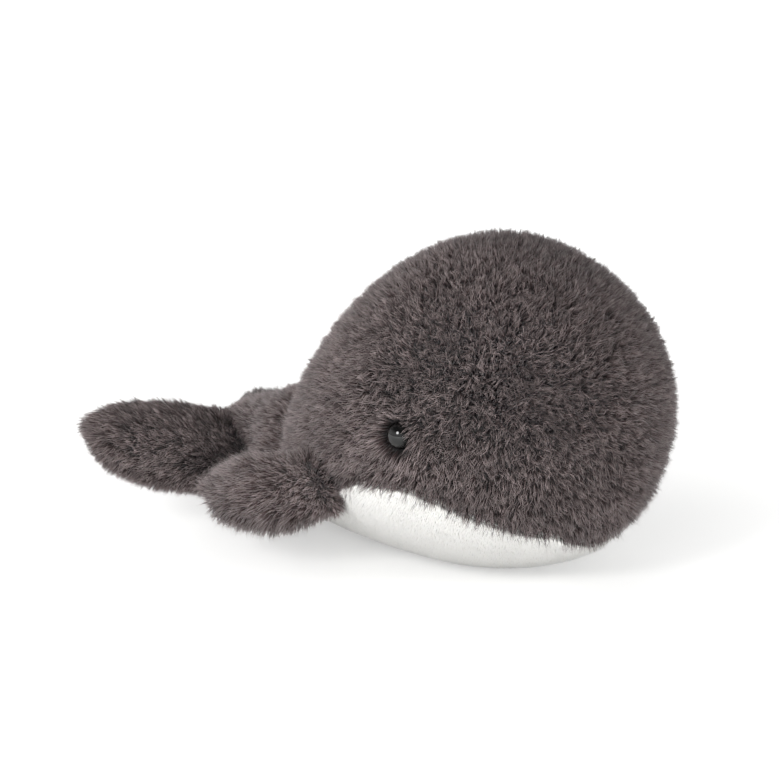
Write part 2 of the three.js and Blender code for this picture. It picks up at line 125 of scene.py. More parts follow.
# Limbs. nap_reach is how far the nap takes to lie down from the seam, and fan is how much it
# spreads to the edges.
FLIPPER = dict(
    hinge_behind=18.4, hinge_height=24.6, stand_off=1.2, lean=35, sweep=17, droop=19, splay=6,
    length=31.2, root_chord=8.9, mid_chord=10.4, root_thick=5.6, mid_thick=6.4, tip_round=3,
    nap_reach=11, fan=1.2,
)
FLUKE = dict(
    hinge_from_end=12.5, hinge_out=8.8, hinge_height=16.8, turn=14, tilt=38, rest_right=-4,
    rest_left=-32, sweep=13, length=39, root_chord=13.4, mid_chord=13.6, root_thick=7.4,
    mid_thick=8.5, tip_round=4, nap_reach=5, fan=0.8,
)
LIMBS = {"flipper": FLIPPER, "fluke": FLUKE}
LIMB_MID = 0.55
LIMB_SECTION = 2.2
NAP_AT_ROOT = 0.1

# The pile of each kind of panel. depth is from the knit to the outer surface and over is how far
# tips stand past it. density is in strands for each square millimetre, lean is the slope of the
# strands, and tone is from 0, dark, to 1, pale. All the grey panels are the same plush, so the paler
# tones of the tail and flippers are painted light, for the more light that falls on them than on the
# body and flukes.
PILE_KEYS = ("depth", "over", "width", "density", "lean", "bend",
             "wander", "jitter", "uneven", "clump", "tuft", "tone")
PILE_VALUES = {
    "body": (3.9, 0.4, 0.20, 6.8, 0.14, 0.4, 0.24, 0.40, 0.17, 0.66, 0.8, 0.37),
    "belly": (2.0, 0.2, 0.30, 12, 0.2, 0.2, 0.0, 0.10, 0.05, 0.06, 0.6, 0.5),
    "flipper": (2.4, 0.7, 0.19, 7.5, 1.3, 0.3, 0.35, 0.36, 0.2, 0.5, 0.9, 0.68),
    "fluke": (2.4, 0.5, 0.19, 7.0, 1.5, 0.3, 0.30, 0.3, 0.17, 0.5, 1.0, 0.36),
    "tail": (2.4, 0.7, 0.20, 7.0, 0.9, 0.3, 0.35, 0.24, 0.14, 0.5, 1.0, 0.75),
}
PILES = {kind: dict(zip(PILE_KEYS, values)) for kind, values in PILE_VALUES.items()}
KNIT_THICKNESS = 0.6
STRANDS_PER_PIECE = 19000
FLOOR_ROOM = 0.05
STRAND_ROOM = 0.1

# How much the tone differs between strands, between tufts and slowly over a panel
TONE_STRAND = 0.12
TONE_TUFT = 0.26
TONE_SLOW = 0.15

# Slow waves in the tone and in the lean, by size in millimetres and phase
TONE_WAVE = (31, 2.2)
LEAN_WAVES = ((17, 1.3), (23, 4.1), (19, 7.7))
WAVE_DIRECTIONS = ((0.8, 0.5, 0.3), (-0.4, 0.9, 0.2), (0.3, -0.5, 0.8), (0.6, 0.1, -0.8))

# How a strand stands: the lean and wobble of its lower half, its least rise, the limits of its
# length, and how much less it wobbles where the pile is calm
LOW_LEAN = 0.7
LOW_WOBBLE = 0.5
LEAST_RISE = 0.45
LENGTH_LIMITS = (0.6, 1.3)
CALM_WOBBLE = 0.9

# Tufts: how far apart their strands stay at the middle and at the tip, and the pull at the middle
TUFT_MIDDLE = 0.6
TUFT_TIP = 0.25
TUFT_LOW_PULL = 0.4

# Where piles end: how far a limb's goes behind its hinge and into what carries it, how far the
# tail's goes into the body, and how far a carrier's goes into a limb's root
BEHIND_HINGE = 5
INTO_CARRIER = 1.2
INTO_SOCKET = 6
INTO_ROOT = 1

# Eye: how deep and wide it pulls the plush in, and the pile round it, which leans away behind the
# eye and stands tall ahead of it
DIMPLE_DEPTH = 0.4
DIMPLE_REACH = 3.5
EYE_BARE_EDGE = 0.1
EYE_LEAN_BEHIND = 0.65
EYE_TALL_AHEAD = 0.8

# Belly seam: how far above it the grey pile hangs over it, how steeply and how much longer it is.
# Below the chin, up to a height, the grey pile is shorter and leans back over the white one, and
# round the tail's socket it leans back over the tail.
SEAM_FRINGE_REACH = 4
SEAM_FRINGE_LEAN = 0.5
SEAM_FRINGE = 0.1
SEAM_RAGGED = 0.3
CHIN_HEIGHT = 11
CHIN_FADE_UP = 5
CHIN_FADE_BACK = 3
CHIN_LEAN = 0.3
CHIN_SHORTER = 0.12
SOCKET_LEAN = 0.7
SOCKET_FADE = 8

# Limbs: how much longer the pile is at the tip and below, where each starts, and how it hangs
FRINGE = dict(
    tip=0.15, tip_from=0.72, tip_drop=0.3, below=0.2, below_from=0.2, below_over=0.6,
    root_clear=12, drop=0.9,
)

# Fibre fill: depth and size of its lumps, and the waves in them by share, size and phase. At the
# place FILL_END the body's fill turns in to the tail's socket.
BODY_LUMPS = (1.4, 14)
TAIL_LUMPS = (1.0, 11)
LIMB_LUMPS = (0.7, 9)
LUMP_WAVES = ((1, 1, 0.9), (0.6, 0.45, 3.1))
FILL_END = 0.9
ROOM_BELOW_POUCH = 8
ROOM_ROUND_WASHER = 1.2

# Studio: the table's own colour, and the white that it adds where it is seen, by the distance in
# metres from the middle. The white is least near the middle, as painted shadow round the whale.
# The world's light falls off from the horizon to straight above, and the white that it shows goes up
# to BACKDROP_TOP, as the sine of the height angle, with a dim room above.
TABLE_SIDE = 6
TABLE_WHITE = (0.93, 0.93, 0.92)
TABLE_REACH = 0.6
TABLE_GLOW_WITH_PAINTED_SHADOW = {0: 0.28, 0.06: 0.36, 0.12: 0.48, 0.3: 0.75, 0.5: 0.9}
WORLD_LIGHT_LOW = 1.05
WORLD_LIGHT_HIGH = 0.25
BACKDROP_TOP = 0.3
ROOM_ABOVE = 0.1

# Lamps: place, size and power in watts. Gloss shows only the key lamp.
LAMPS = {
    "key": ((0.06, -0.76, 0.40), 0.27, 3.0),
    "left": ((-0.75, -0.65, 0.40), 0.7, 2.2),
    "low_front": ((0.20, -0.85, 0.14), 0.26, 2.6),
    "low_right": ((0.65, -0.50, 0.14), 0.26, 3.7),
    "back": ((-0.75, 0.60, 0.40), 0.7, 3.4),
}
LAMP_AIM = (0.02, 0, 0.035)

# Camera, fitted to the photo: its turn from the side view, its height angle and its focal length
PHOTO_SIDE = 780
CAMERA_TURN = 52
CAMERA_RISE = 14
CAMERA_DISTANCE = 700
FOCAL_PIXELS = 2940
TARGET_BACK = 0.5
TARGET_HEIGHT = 34
TARGET_PIXEL = (481.8, 420.2)
SENSOR_MM = 36

SIDES = ("right", "left")
FLIPS = {"right": np.ones(3), "left": np.array([1, -1, 1])}

rng = np.random.default_rng(SEED)
density_share = 1
shift_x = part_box("side_panel_right")[1].x / MM - NOSE_REACH


def smooth(value):
    value = np.clip(value, 0, 1)
    return value * value * (3 - 2 * value)


def lerp(low, high, share):
    return low + (high - low) * share


def unit(vectors):
    return vectors / np.maximum(np.linalg.norm(vectors, axis=-1, keepdims=True), 1e-12)


def signed_power(value, power):
    return np.sign(value) * np.abs(value) ** power


def quarter(count):
    return np.linspace(0, math.pi / 2, count)


def full_turn(count):
    return np.linspace(0, 2 * math.pi, count + 1)[None, :-1]


def spokes(across, other, sides):
    """Directions evenly round an axis, from two that are square to it."""
    angles = [step * 2 * math.pi / sides for step in range(sides)]
    return [across * math.cos(angle) + other * math.sin(angle) for angle in angles]


def to_frame(points):
    """From millimetres about the widest section to metres in the shared frame."""
    return np.add(points, (shift_x, 0, 0)) * MM


# Body surface

def body_section(place, grow=0):
    """x, half width, middle height, reach above and reach below at places from -1, the nose, to 1."""
    place = np.asarray(place, float)
    front = np.clip((1 + place) * math.pi / 2, 0, math.pi / 2)
    round_share = np.sin(front) ** (2 / NOSE_POWER)
    under_share = np.sin(front) ** (2 / CHIN_POWER)
    back = np.clip(place, 0, 1)
    full = 1 - back ** RUMP_POWER
    nose_x = (NOSE_REACH + grow) * np.abs(np.cos(front)) ** (2 / NOSE_POWER)
    is_front = place < 0
    x = np.where(is_front, nose_x, -RUMP_REACH * back)
    nose_middle = lerp(NOSE_HEIGHT, WIDEST_HEIGHT, round_share)
    middle = np.where(is_front, nose_middle, lerp(TAIL_ROOT_HEIGHT, WIDEST_HEIGHT, full))
    half = np.where(is_front, (BODY_WIDTH / 2 + grow) * round_share,
                    lerp(TAIL_ROOT_RADIUS, BODY_WIDTH / 2, full) + grow)
    rump_top = lerp(TAIL_ROOT_HEIGHT + TAIL_ROOT_RADIUS, BODY_HEIGHT, full)
    above = np.where(is_front, (BODY_HEIGHT - WIDEST_HEIGHT + grow) * round_share,
                     rump_top - middle + grow)
    rump_low = lerp(TAIL_ROOT_HEIGHT - TAIL_ROOT_RADIUS, -STAND_DEPTH, full)
    below = np.where(is_front, (WIDEST_HEIGHT + STAND_DEPTH + grow) * under_share,
                     middle - rump_low + grow)
    return x, half, middle, above, below


def body_points(place, turn, grow=0):
    """Points at a turn from the top, 0, over the right side to the bottom, pi. Negative is left."""
    x, half, middle, above, below = body_section(place, grow)
    upper = np.cos(turn) > 0
    bend = np.where(upper, 2 / UPPER_POWER, 2 / LOWER_POWER)
    y = -half * signed_power(np.sin(turn), bend)
    z = middle + np.where(upper, above, below) * signed_power(np.cos(turn), bend)
    return np.stack(np.broadcast_arrays(x, y, z), -1)


def body_normals(place, turn):
    """Outward normals, from points a small step away on each side."""
    step = 1e-3
    along = body_points(place + step, turn) - body_points(place - step, turn)
    around = body_points(place, turn + step) - body_points(place, turn - step)
    return unit(np.cross(along, around))


def place_of(x):
    """The place along the body of an x coordinate."""
    share = np.clip(x / NOSE_REACH, 0, 1)
    front = 2 / math.pi * np.arccos(share ** (NOSE_POWER / 2)) - 1
    return np.where(x > 0, front, np.clip(-x / RUMP_REACH, 0, 1))


def body_fullness(points, grow=0):
    """Under 1 inside the body, over 1 outside."""
    x = points[..., 0]
    _, half, middle, above, below = body_section(place_of(x), grow)
    high = points[..., 2] > middle
    power = np.where(high, UPPER_POWER, LOWER_POWER)
    reach = np.maximum(np.where(high, above, below), 1e-6)
    inside = (np.abs(points[..., 1]) / np.maximum(half, 1e-6)) ** power
    inside = inside + (np.abs(points[..., 2] - middle) / reach) ** power
    return np.where((x > NOSE_REACH + grow) | (x < -RUMP_REACH), 2, inside)


def seam_height(x):
    ahead = smooth((x - SEAM_CHEEK_FRONT_X) / (SEAM_NOSE_X - SEAM_CHEEK_FRONT_X))
    chin = smooth((x - SEAM_CHIN_X) / (SEAM_CHIN_END_X - SEAM_CHIN_X))
    behind = smooth(-x / SEAM_RUMP_REACH)
    front = lerp(lerp(SEAM_CHEEK_HEIGHT, SEAM_NOSE_HEIGHT, ahead), SEAM_CHIN_HEIGHT, chin)
    return lerp(front, SEAM_RUMP_HEIGHT, behind)


def seam_turn(place):
    """The turn from the top at which the belly seam crosses each section."""
    x, _, middle, _, below = body_section(place)
    drop = np.clip((middle - seam_height(x)) / np.maximum(below, 1e-6), 0, 1)
    return math.pi - np.arccos(drop ** (LOWER_POWER / 2))


def side_place(x, z):
    """A point on the body's right side, with its outward direction."""
    def side(at_x, at_z):
        _, half, middle, above, below = body_section(place_of(at_x))
        high = at_z > middle
        power = UPPER_POWER if high else LOWER_POWER
        share = abs(at_z - middle) / (above if high else below)
        return float(half * (1 - share ** power) ** (1 / power))
    probe = SHANK_RADIUS
    along = (2 * probe, side(x - probe, z) - side(x + probe, z), 0)
    up = (0, side(x, z - probe) - side(x, z + probe), 2 * probe)
    return np.array([x, -side(x, z), z]), unit(np.cross(along, up))


eye_point, eye_out = side_place(EYE_X, EYE_HEIGHT)


# Grids: a surface is a grid of points with a normal and a nap direction at each

def grid_normals(points, pole_first, pole_last=None):
    """Outward normals of a grid, with the given ones where a first or last row is one point."""
    down = np.gradient(points, axis=0)
    across = np.gradient(points, axis=1)
    normals = unit(np.cross(down, across))
    centre = points.reshape(-1, 3).mean(0)
    if (normals * (points - centre)).sum() < 0:
        normals = -normals
    normals[0] = pole_first
    if pole_last is not None:
        normals[-1] = pole_last
    return normals


def surface(points, normals, nap):
    """A grid with its nap laid flat. Where the nap points straight out, none is left."""
    nap = np.broadcast_to(np.asarray(nap, float), points.shape)
    flat = nap - (nap * normals).sum(-1, keepdims=True) * normals
    return {"points": points, "normals": normals, "nap": flat}


def on_side(sheet, side):
    return {key: value * FLIPS[side] for key, value in sheet.items()}


def dimpled(points, normals):
    """Pulls the right side in round the eye."""
    far = np.linalg.norm(points - eye_point, axis=-1)
    pull = DIMPLE_DEPTH * np.exp(-(far / DIMPLE_REACH) ** 2)
    return points - normals * pull[..., None]


def belly_front():
    """The place where the belly seam meets the bottom line below the nose."""
    low, high = -0.9, -0.2
    for _ in range(30):
        middle = (low + high) / 2
        if seam_turn(middle) < math.pi - 1e-3:
            high = middle
        else:
            low = middle
    return high


def side_panel():
    """The right side of the body, with closer rows where the seam turns below the chin."""
    chin = belly_front() + np.array([0, 0.004, 0.01, 0.018, 0.028, 0.04, 0.055])
    place = np.sort(np.concatenate([np.linspace(-1, 1, 64), chin]))[:, None]
    turn = np.linspace(0, 1, 48)[None, :] * seam_turn(place)
    points = body_points(place, turn)
    normals = body_normals(place, turn)
    normals[0] = (1, 0, 0)
    points = dimpled(points, normals)
    points[..., 2] = np.maximum(points[..., 2], 0)
    return surface(points, normals, (-0.25, 0, -1))


def belly():
    """The white panel, with its rows closer towards the chin."""
    place = lerp(belly_front(), 1, np.linspace(0, 1, 64) ** 1.6)[:, None]
    turn = math.pi - np.linspace(-1, 1, 72)[None, :] * (math.pi - seam_turn(place))
    points = body_points(place, turn)
    normals = body_normals(place, turn)
    points[..., 2] = np.maximum(points[..., 2], 0)
    return surface(points, normals, (0, 0, -1))


def tail_section(along, grow=0):
    """Middle height, half width and half height at distances behind the tail's hinge."""
    share = np.clip(along / (TAIL_LENGTH + grow), 0, 1)
    closing = np.sqrt(np.maximum(1 - share ** TAIL_END_ROUND, 0))
    ball = np.sqrt(np.maximum((TAIL_BALL_RADIUS + grow) ** 2 - along ** 2, 0))

    def half(end):
        stock = (lerp(TAIL_BALL_RADIUS, end, share ** TAIL_TAPER) + grow) * closing
        return np.maximum(ball, (along >= 0) * stock)

    middle = lerp(TAIL_ROOT_HEIGHT, TAIL_END_HEIGHT, share)
    return middle, half(TAIL_END_HALF_WIDTH), half(TAIL_END_HALF_HEIGHT)


def tail_points(along, turn, grow=0):
    """Tail stock at distances behind its hinge; those below zero are on the ball's front."""
    middle, wide, high = tail_section(along, grow)
    y = -wide * np.sin(turn)
    z = middle + high * np.cos(turn)
    return np.stack(np.broadcast_arrays(TAIL_HINGE_X - along, y, z), -1)


def tail_fullness(points, grow=0):
    """Under 1 inside the tail stock, over 1 outside."""
    along = TAIL_HINGE_X - points[..., 0]
    middle, wide, high = tail_section(along, grow)
    inside = (points[..., 1] / np.maximum(wide, 1e-6)) ** 2
    inside = inside + ((points[..., 2] - middle) / np.maximum(high, 1e-6)) ** 2
    outside = (along > TAIL_LENGTH + grow) | (along < -TAIL_BALL_RADIUS - grow)
    return np.where(outside, 9, inside)


def tail_distances(front, behind):
    """Distances behind the tail's hinge, in rows on the ball's front and behind the hinge."""
    ball = -TAIL_BALL_RADIUS * np.cos(quarter(front))
    return np.concatenate([ball, TAIL_LENGTH * np.sin(quarter(behind))[1:]])[:, None]


def tail_panel():
    points = tail_points(tail_distances(12, 28), np.linspace(0, math.pi, 32)[None, :])
    return surface(points, grid_normals(points, (1, 0, 0), (-1, 0, 0)), (-1, 0, 0))


# Limbs: paddles in a frame of their own, outwards along x, to the leading edge along y

def limb_frame(point, hinge, towards):
    thick = unit(np.cross(towards, hinge))
    out = unit(np.cross(hinge, thick))
    return {"point": point, "axes": np.stack([out, hinge, thick], 1)}


def flipper_frame():
    point, out = side_place(-FLIPPER["hinge_behind"], FLIPPER["hinge_height"])
    point = point + out * FLIPPER["stand_off"]
    back = unit(out[0] * out + (-1, 0, 0))
    turn = Matrix.Rotation(math.radians(FLIPPER["lean"]), 3, Vector(out))
    hinge = np.array(turn @ Vector(np.cross(out, back)))
    splay = math.sin(math.radians(FLIPPER["splay"]))
    droop = math.sin(math.radians(FLIPPER["droop"]))
    return limb_frame(point, hinge, (-1, -splay, -droop))


def fluke_frame(rise):
    x = TAIL_HINGE_X - TAIL_LENGTH + FLUKE["hinge_from_end"]
    point = (x, -FLUKE["hinge_out"], FLUKE["hinge_height"])
    turn = math.radians(FLUKE["turn"])
    tilt = math.radians(FLUKE["tilt"])
    hinge = unit(np.array([math.cos(turn), -math.sin(turn), -math.sin(tilt)]))
    rise = math.radians(rise)
    return limb_frame(point, hinge, (0, -math.cos(rise), math.sin(rise)))


def limb_places(root, blade):
    return np.concatenate([np.linspace(-1, 0, root), np.sin(quarter(blade))[1:]])[:, None]


def limb_points(limb, place, turn, grow=0):
    """Points of a paddle: places from -1, inside the carrier, through 0, the hinge, to 1, the tip."""
    share = np.clip(place, 0, 1)
    swell = smooth(share / LIMB_MID)
    inner = np.clip(-place, 0, 1) * math.pi / 2
    closing = np.sqrt(np.maximum(1 - share ** limb["tip_round"], 0))
    chord = (lerp(limb["root_chord"], limb["mid_chord"], swell) + grow) * closing * np.cos(inner)
    thick = (lerp(limb["root_thick"], limb["mid_thick"], swell) + grow) * closing * np.cos(inner)
    sweep = math.radians(limb["sweep"])
    reach = (limb["length"] + grow) * share
    x = reach * math.cos(sweep) - (limb["root_thick"] + grow) * np.sin(inner)
    y = -reach * math.sin(sweep) + chord * signed_power(np.cos(turn), 2 / LIMB_SECTION)
    z = thick * signed_power(np.sin(turn), 2 / LIMB_SECTION)
    return np.stack(np.broadcast_arrays(x, y, z), -1)


def limb_side(limb, axes, upper):
    """One side of a limb as a surface, with its nap towards the tip and the edges."""
    place = limb_places(10, 34)
    start = 0 if upper else math.pi
    turn = np.linspace(start, start + math.pi, 30)[None, :]
    points = limb_points(limb, place, turn)
    sweep = math.radians(limb["sweep"])
    tip = (math.cos(sweep), -math.sin(sweep), 0)
    normals = grid_normals(points, (-1, 0, 0), tip)
    nap = np.broadcast_to(tip, points.shape).copy()
    nap[..., 1] += limb["fan"] * np.cos(turn) * np.clip(place, 0, 1)
    nap *= lerp(NAP_AT_ROOT, 1, smooth(points[..., :1] / limb["nap_reach"]))
    made = {key: value @ axes["axes"].T for key, value in surface(points, normals, nap).items()}
    made["points"] = made["points"] + axes["point"]
    return made


def in_limb_frame(points, axes):
    return (points - axes["point"]) @ axes["axes"]


limb_axes = {
    "flipper": {side: flipper_frame() for side in SIDES},
    "fluke": {side: fluke_frame(FLUKE[f"rest_{side}"]) for side in SIDES},
}


# Materials

def new_node(nodes, kind, inputs=None, **settings):
    """A node with its settings and the values of its inputs."""
    made = nodes.new(f"ShaderNode{kind}")
    for name, value in settings.items():
        setattr(made, name, value)
    for name, value in (inputs or {}).items():
        made.inputs[name].default_value = value
    return made


def new_material(name, finish):
    material = bpy.data.materials.new(name)
    material.use_nodes = True
    nodes = material.node_tree.nodes
    shader = nodes["Principled BSDF"]
    for key, value in finish.items():
        shader.inputs[key].default_value = value
    return material, nodes, material.node_tree.links, shader


def ramp(nodes, links, source, stops):
    """The colours between the stops that a value picks."""
    made = new_node(nodes, "ValToRGB")
    elements = made.color_ramp.elements
    while len(elements) < len(stops):
        elements.new(0.5)
    for element, (position, colour) in zip(elements, stops):
        element.position = position
        element.color = (*colour, 1)
    links.new(source, made.inputs[0])
    return made.outputs[0]


def pile_material(name, stops, tone_low, tone_high, sheen):
    """Strands: the stops run from root to tip along v, and each has a tone of its own along u."""
    material, nodes, links, shader = new_material(name, {
        "Roughness": 0.62, "Specular IOR Level": 0.25, "Sheen Weight": sheen, "Sheen Roughness": 0.35,
    })
    where = new_node(nodes, "UVMap", uv_map="OFBake")
    split = new_node(nodes, "SeparateXYZ")
    links.new(where.outputs["UV"], split.inputs[0])
    mix = new_node(nodes, "Mix", data_type="RGBA", blend_type="MULTIPLY")
    mix.inputs["Factor"].default_value = 1
    links.new(ramp(nodes, links, split.outputs["Y"], stops), mix.inputs[6])
    links.new(ramp(nodes, links, split.outputs["X"], [(0, tone_low), (1, tone_high)]), mix.inputs[7])
    links.new(mix.outputs[2], shader.inputs["Base Color"])
    return material


def grained_material(name, texture, grain, stops, bump, finish):
    """A surface whose colour follows a fine texture, and its height too where a bump is given."""
    material, nodes, links, shader = new_material(name, finish)
    place = new_node(nodes, "TexCoord")
    pattern = new_node(nodes, texture, grain)
    links.new(place.outputs["Object"], pattern.inputs["Vector"])
    links.new(ramp(nodes, links, pattern.outputs["Fac"], stops), shader.inputs["Base Color"])
    if bump:
        raised = new_node(nodes, "Bump", bump)
        links.new(pattern.outputs["Fac"], raised.inputs["Height"])
        links.new(raised.outputs[0], shader.inputs["Normal"])
    return material


def knit_material(name, dark, light, scale):
    """Knitted or woven cloth: fine rows of loops."""
    return grained_material(
        name, "TexWave", {"Scale": scale, "Distortion": 2.5, "Detail": 2}, [(0, dark), (1, light)],
        {"Strength": 0.4, "Distance": 0.0002}, {"Roughness": 0.9, "Specular IOR Level": 0.1},
    )


def speckled_material(name, dark, light, scale, roughness, bump_height):
    return grained_material(
        name, "TexNoise", {"Scale": scale, "Detail": 4}, [(0.3, dark), (0.7, light)],
        {"Strength": 0.5, "Distance": bump_height}, {"Roughness": roughness},
    )


# The grey pile's own colour is towards the tips; towards the roots it darkens to near black as painted
# shade deep in the pile
grey_pile_with_shaded_roots = pile_material(
    "grey_pile_with_shaded_roots", [(0, (0.007, 0.003, 0.003)), (0.55, (0.050, 0.034, 0.033)), (1, (0.37, 0.319, 0.314))],
    (0.38, 0.37, 0.37), (1.5, 1.46, 1.46), 0.15,
)
white_pile = pile_material(
    "white_pile", [(0, (0.93, 0.925, 0.905)), (0.55, (0.95, 0.945, 0.925)), (1, (0.965, 0.96, 0.945))],
    (0.98, 0.975, 0.965), (1.0, 1.0, 1.0), 0.0,
)
# The grey backing is far darker than the plush's grey: painted shade at the bottom of the pile
grey_knit_painted_shade = knit_material("grey_knit_painted_shade", (0.012, 0.009, 0.010), (0.030, 0.024, 0.025), 900)
white_knit = knit_material("white_knit", (0.88, 0.87, 0.85), (0.93, 0.92, 0.90), 900)
pouch_cloth = knit_material("pouch_cloth", (0.52, 0.48, 0.40), (0.70, 0.66, 0.57), 700)
fibre_fill = speckled_material(
    "fibre_fill", (0.72, 0.71, 0.69), (0.9, 0.9, 0.88), 320, 0.95, 0.0006)
pellet_plastic = speckled_material(
    "pellet_plastic", (0.48, 0.50, 0.53), (0.62, 0.64, 0.67), 90, 0.35, 0.00005)
washer_plastic = speckled_material(
    "washer_plastic", (0.66, 0.67, 0.68), (0.76, 0.77, 0.78), 260, 0.5, 0.00004)
# Polished black, with faint moulding specks under the gloss
eye_black = grained_material(
    "eye_black", "TexNoise", {"Scale": 900}, [(0.35, (0.002,) * 3), (0.75, (0.004,) * 3)],
    None, {"Roughness": 0.04, "Specular IOR Level": 0.5},
)


# Meshes

def finish_piece(piece, body, node):
    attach(piece, body)
    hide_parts(node)


def new_object(name, data):
    made = bpy.data.objects.new(name, data)
    bpy.context.scene.collection.objects.link(made)
    return made


def mesh_object(name, points, faces, material):
    """A smooth mesh from points in millimetres, kept off the floor, with doubled points joined."""
    vertices = to_frame(points.reshape(-1, 3))
    vertices[:, 2] = np.maximum(vertices[:, 2], FLOOR_ROOM * MM)
    mesh = bpy.data.meshes.new(name)
    mesh.from_pydata(vertices.tolist(), [], faces)
    mesh.materials.append(material)
    joined = bmesh.new()
    joined.from_mesh(mesh)
    bmesh.ops.remove_doubles(joined, verts=joined.verts, dist=2e-6)
    bmesh.ops.dissolve_degenerate(joined, edges=joined.edges, dist=1e-7)
    bmesh.ops.recalc_face_normals(joined, faces=joined.faces)
    joined.to_mesh(mesh)
    joined.free()
    mesh.polygons.foreach_set("use_smooth", [True] * len(mesh.polygons))
    return new_object(name, mesh)


def closed_grid(name, points, material, capped=False):
    """A closed body from a grid whose columns wrap. Its end rows are points, or meet, or get caps."""
    rows, columns = points.shape[:2]
    index = np.arange(rows * columns).reshape(rows, columns)
    after = np.roll(index, -1, axis=1)
    corners = np.stack([index[:-1], after[:-1], after[1:], index[1:]], -1)
    faces = corners.reshape(-1, 4).tolist()
    if capped:
        faces += [index[0].tolist(), index[-1, ::-1].tolist()]
    return mesh_object(name, points, faces, material)


def knit_shell(name, sheet, depth, material):
    """The backing of a panel: a thin closed shell below the pile."""
    outer = sheet["points"] - sheet["normals"] * depth
    inner = sheet["points"] - sheet["normals"] * (depth + KNIT_THICKNESS)
    rows, columns = outer.shape[:2]
    back = rows * columns
    index = np.arange(back).reshape(rows, columns)
    faces = []
    for first in index[:-1, :-1].ravel().tolist():
        corners = [first, first + columns, first + columns + 1, first + 1]
        faces += [corners, [back + corner for corner in reversed(corners)]]
    for line in (index[0], index[-1, ::-1], index[::-1, 0], index[:, -1]):
        for a, b in zip(line.tolist(), line[1:].tolist()):
            faces.append([a, b, back + b, back + a])
    return mesh_object(name, np.stack([outer, inner]), faces, material)


def scatter(sheet, density):
    """Even random roots on a surface: points, normals and nap directions."""
    points = sheet["points"]
    a, b = points[:-1, :-1], points[1:, :-1]
    c, d = points[1:, 1:], points[:-1, 1:]
    area = np.linalg.norm(np.cross(c - a, b - d), axis=-1) / 2
    wanted = area * density * density_share
    count = np.floor(wanted + rng.random(area.shape)).astype(int)
    row, column = np.nonzero(count)
    copies = count[row, column]
    index = np.arange(copies.sum()) - np.repeat(np.cumsum(copies) - copies, copies)
    start = np.repeat(rng.random((len(copies), 2)), copies, axis=0)
    even_step = np.array([0.7548777, 0.5698403])
    place = (start + index[:, None] * even_step) % 1
    row, column = np.repeat(row, copies), np.repeat(column, copies)
    u, v = place[:, :1], place[:, 1:]

    def at(values):
        top = lerp(values[row, column], values[row, column + 1], v)
        low = lerp(values[row + 1, column], values[row + 1, column + 1], v)
        return lerp(top, low, u)

    return at(points), unit(at(sheet["normals"])), at(sheet["nap"])


def slow_noise(points, size, phase):
    """A smooth wandering value from -1 to 1 that turns over about every size millimetres."""
    total = np.zeros(len(points))
    for step, axis in enumerate(WAVE_DIRECTIONS):
        wave = points @ axis * (2 * math.pi / size) * (1 + 0.37 * step)
        total += np.sin(wave + phase * (step + 1.7))
    return total / len(WAVE_DIRECTIONS)


def to_tufts(roots, mids, tips, spec):
    """Draws the tips of neighbours together into tufts."""
    apart = max(round(spec["tuft"] ** 2 * spec["density"] * density_share), 2)
    leaders = rng.permutation(len(roots))[::apart]
    tree = kdtree.KDTree(len(leaders))
    for number, leader in enumerate(leaders):
        tree.insert(roots[leader], number)
    tree.balance()
    nearest = leaders[np.array([tree.find(root)[1] for root in roots])]
    aside = roots - roots[nearest]
    mids = lerp(mids, mids[nearest] + aside * TUFT_MIDDLE, spec["clump"] * TUFT_LOW_PULL)
    tips = lerp(tips, tips[nearest] + aside * TUFT_TIP, spec["clump"])
    return mids, tips, nearest


def pile(roots, normals, nap, spec, length_share, lean_extra, calm):
    """Root, middle and tip of each strand, and the strand that leads its tuft."""
    count = len(roots)
    wander = np.stack([slow_noise(roots, size, phase) for size, phase in LEAN_WAVES], 1)
    wander = wander * (1 - calm)[:, None]
    lean = nap * spec["lean"] + wander * spec["wander"] + lean_extra
    low = unit(normals + lean * LOW_LEAN)
    high = unit(normals + lean * (1 + spec["bend"]))
    rise = np.maximum(((low + high) * normals).sum(1) / 2, LEAST_RISE)
    uneven = np.clip(1 + spec["uneven"] * rng.normal(0, 1, count), *LENGTH_LIMITS)
    length = ((spec["depth"] + spec["over"]) * length_share * uneven / rise)[:, None]
    wobble = rng.normal(0, spec["jitter"], (count, 3)) * (1 - CALM_WOBBLE * calm)[:, None]
    base = roots - normals * spec["depth"]
    mids = base + unit(low + wobble * LOW_WOBBLE) * length / 2
    tips = mids + unit(high + wobble) * length / 2
    mids, tips, nearest = to_tufts(base, mids, tips, spec)
    for points in (mids, tips):
        points[:, 2] = np.maximum(points[:, 2], FLOOR_ROOM + STRAND_ROOM)
    base[:, 2] = np.maximum(base[:, 2], FLOOR_ROOM + 2 * STRAND_ROOM)
    return base, mids, tips, nearest


# A strand: points 0 to 2 round its base, 3 to 5 round its middle and 6 at its tip, the corners of
# its faces, and where each corner lies across the tone, u, and along the strand, v
STRAND_POINTS = 7
CORNERS = np.array([0, 2, 1, 0, 1, 4, 3, 1, 2, 5, 4, 2, 0, 3, 5, 3, 4, 6, 4, 5, 6, 5, 3, 6])
FACE_SIZES = np.array([3, 4, 4, 4, 3, 3, 3])
CORNER_U = np.array([0, 1, 0.5, 0, 0.5, 0.5, 0, 0.5, 1, 1, 0.5, 1, 0, 0, 1]
                    + [0, 0.5, 0.25, 0.5, 1, 0.75, 1, 0, 0.5])
CORNER_V = np.array([0, 0, 0.02] + [0, 0, 0.5, 0.5] * 3 + [0.5, 0.5, 1] * 3)
UV_EDGE = 0.02
WIDTH_JITTER = 0.15
MIDDLE_WIDTH = 0.85


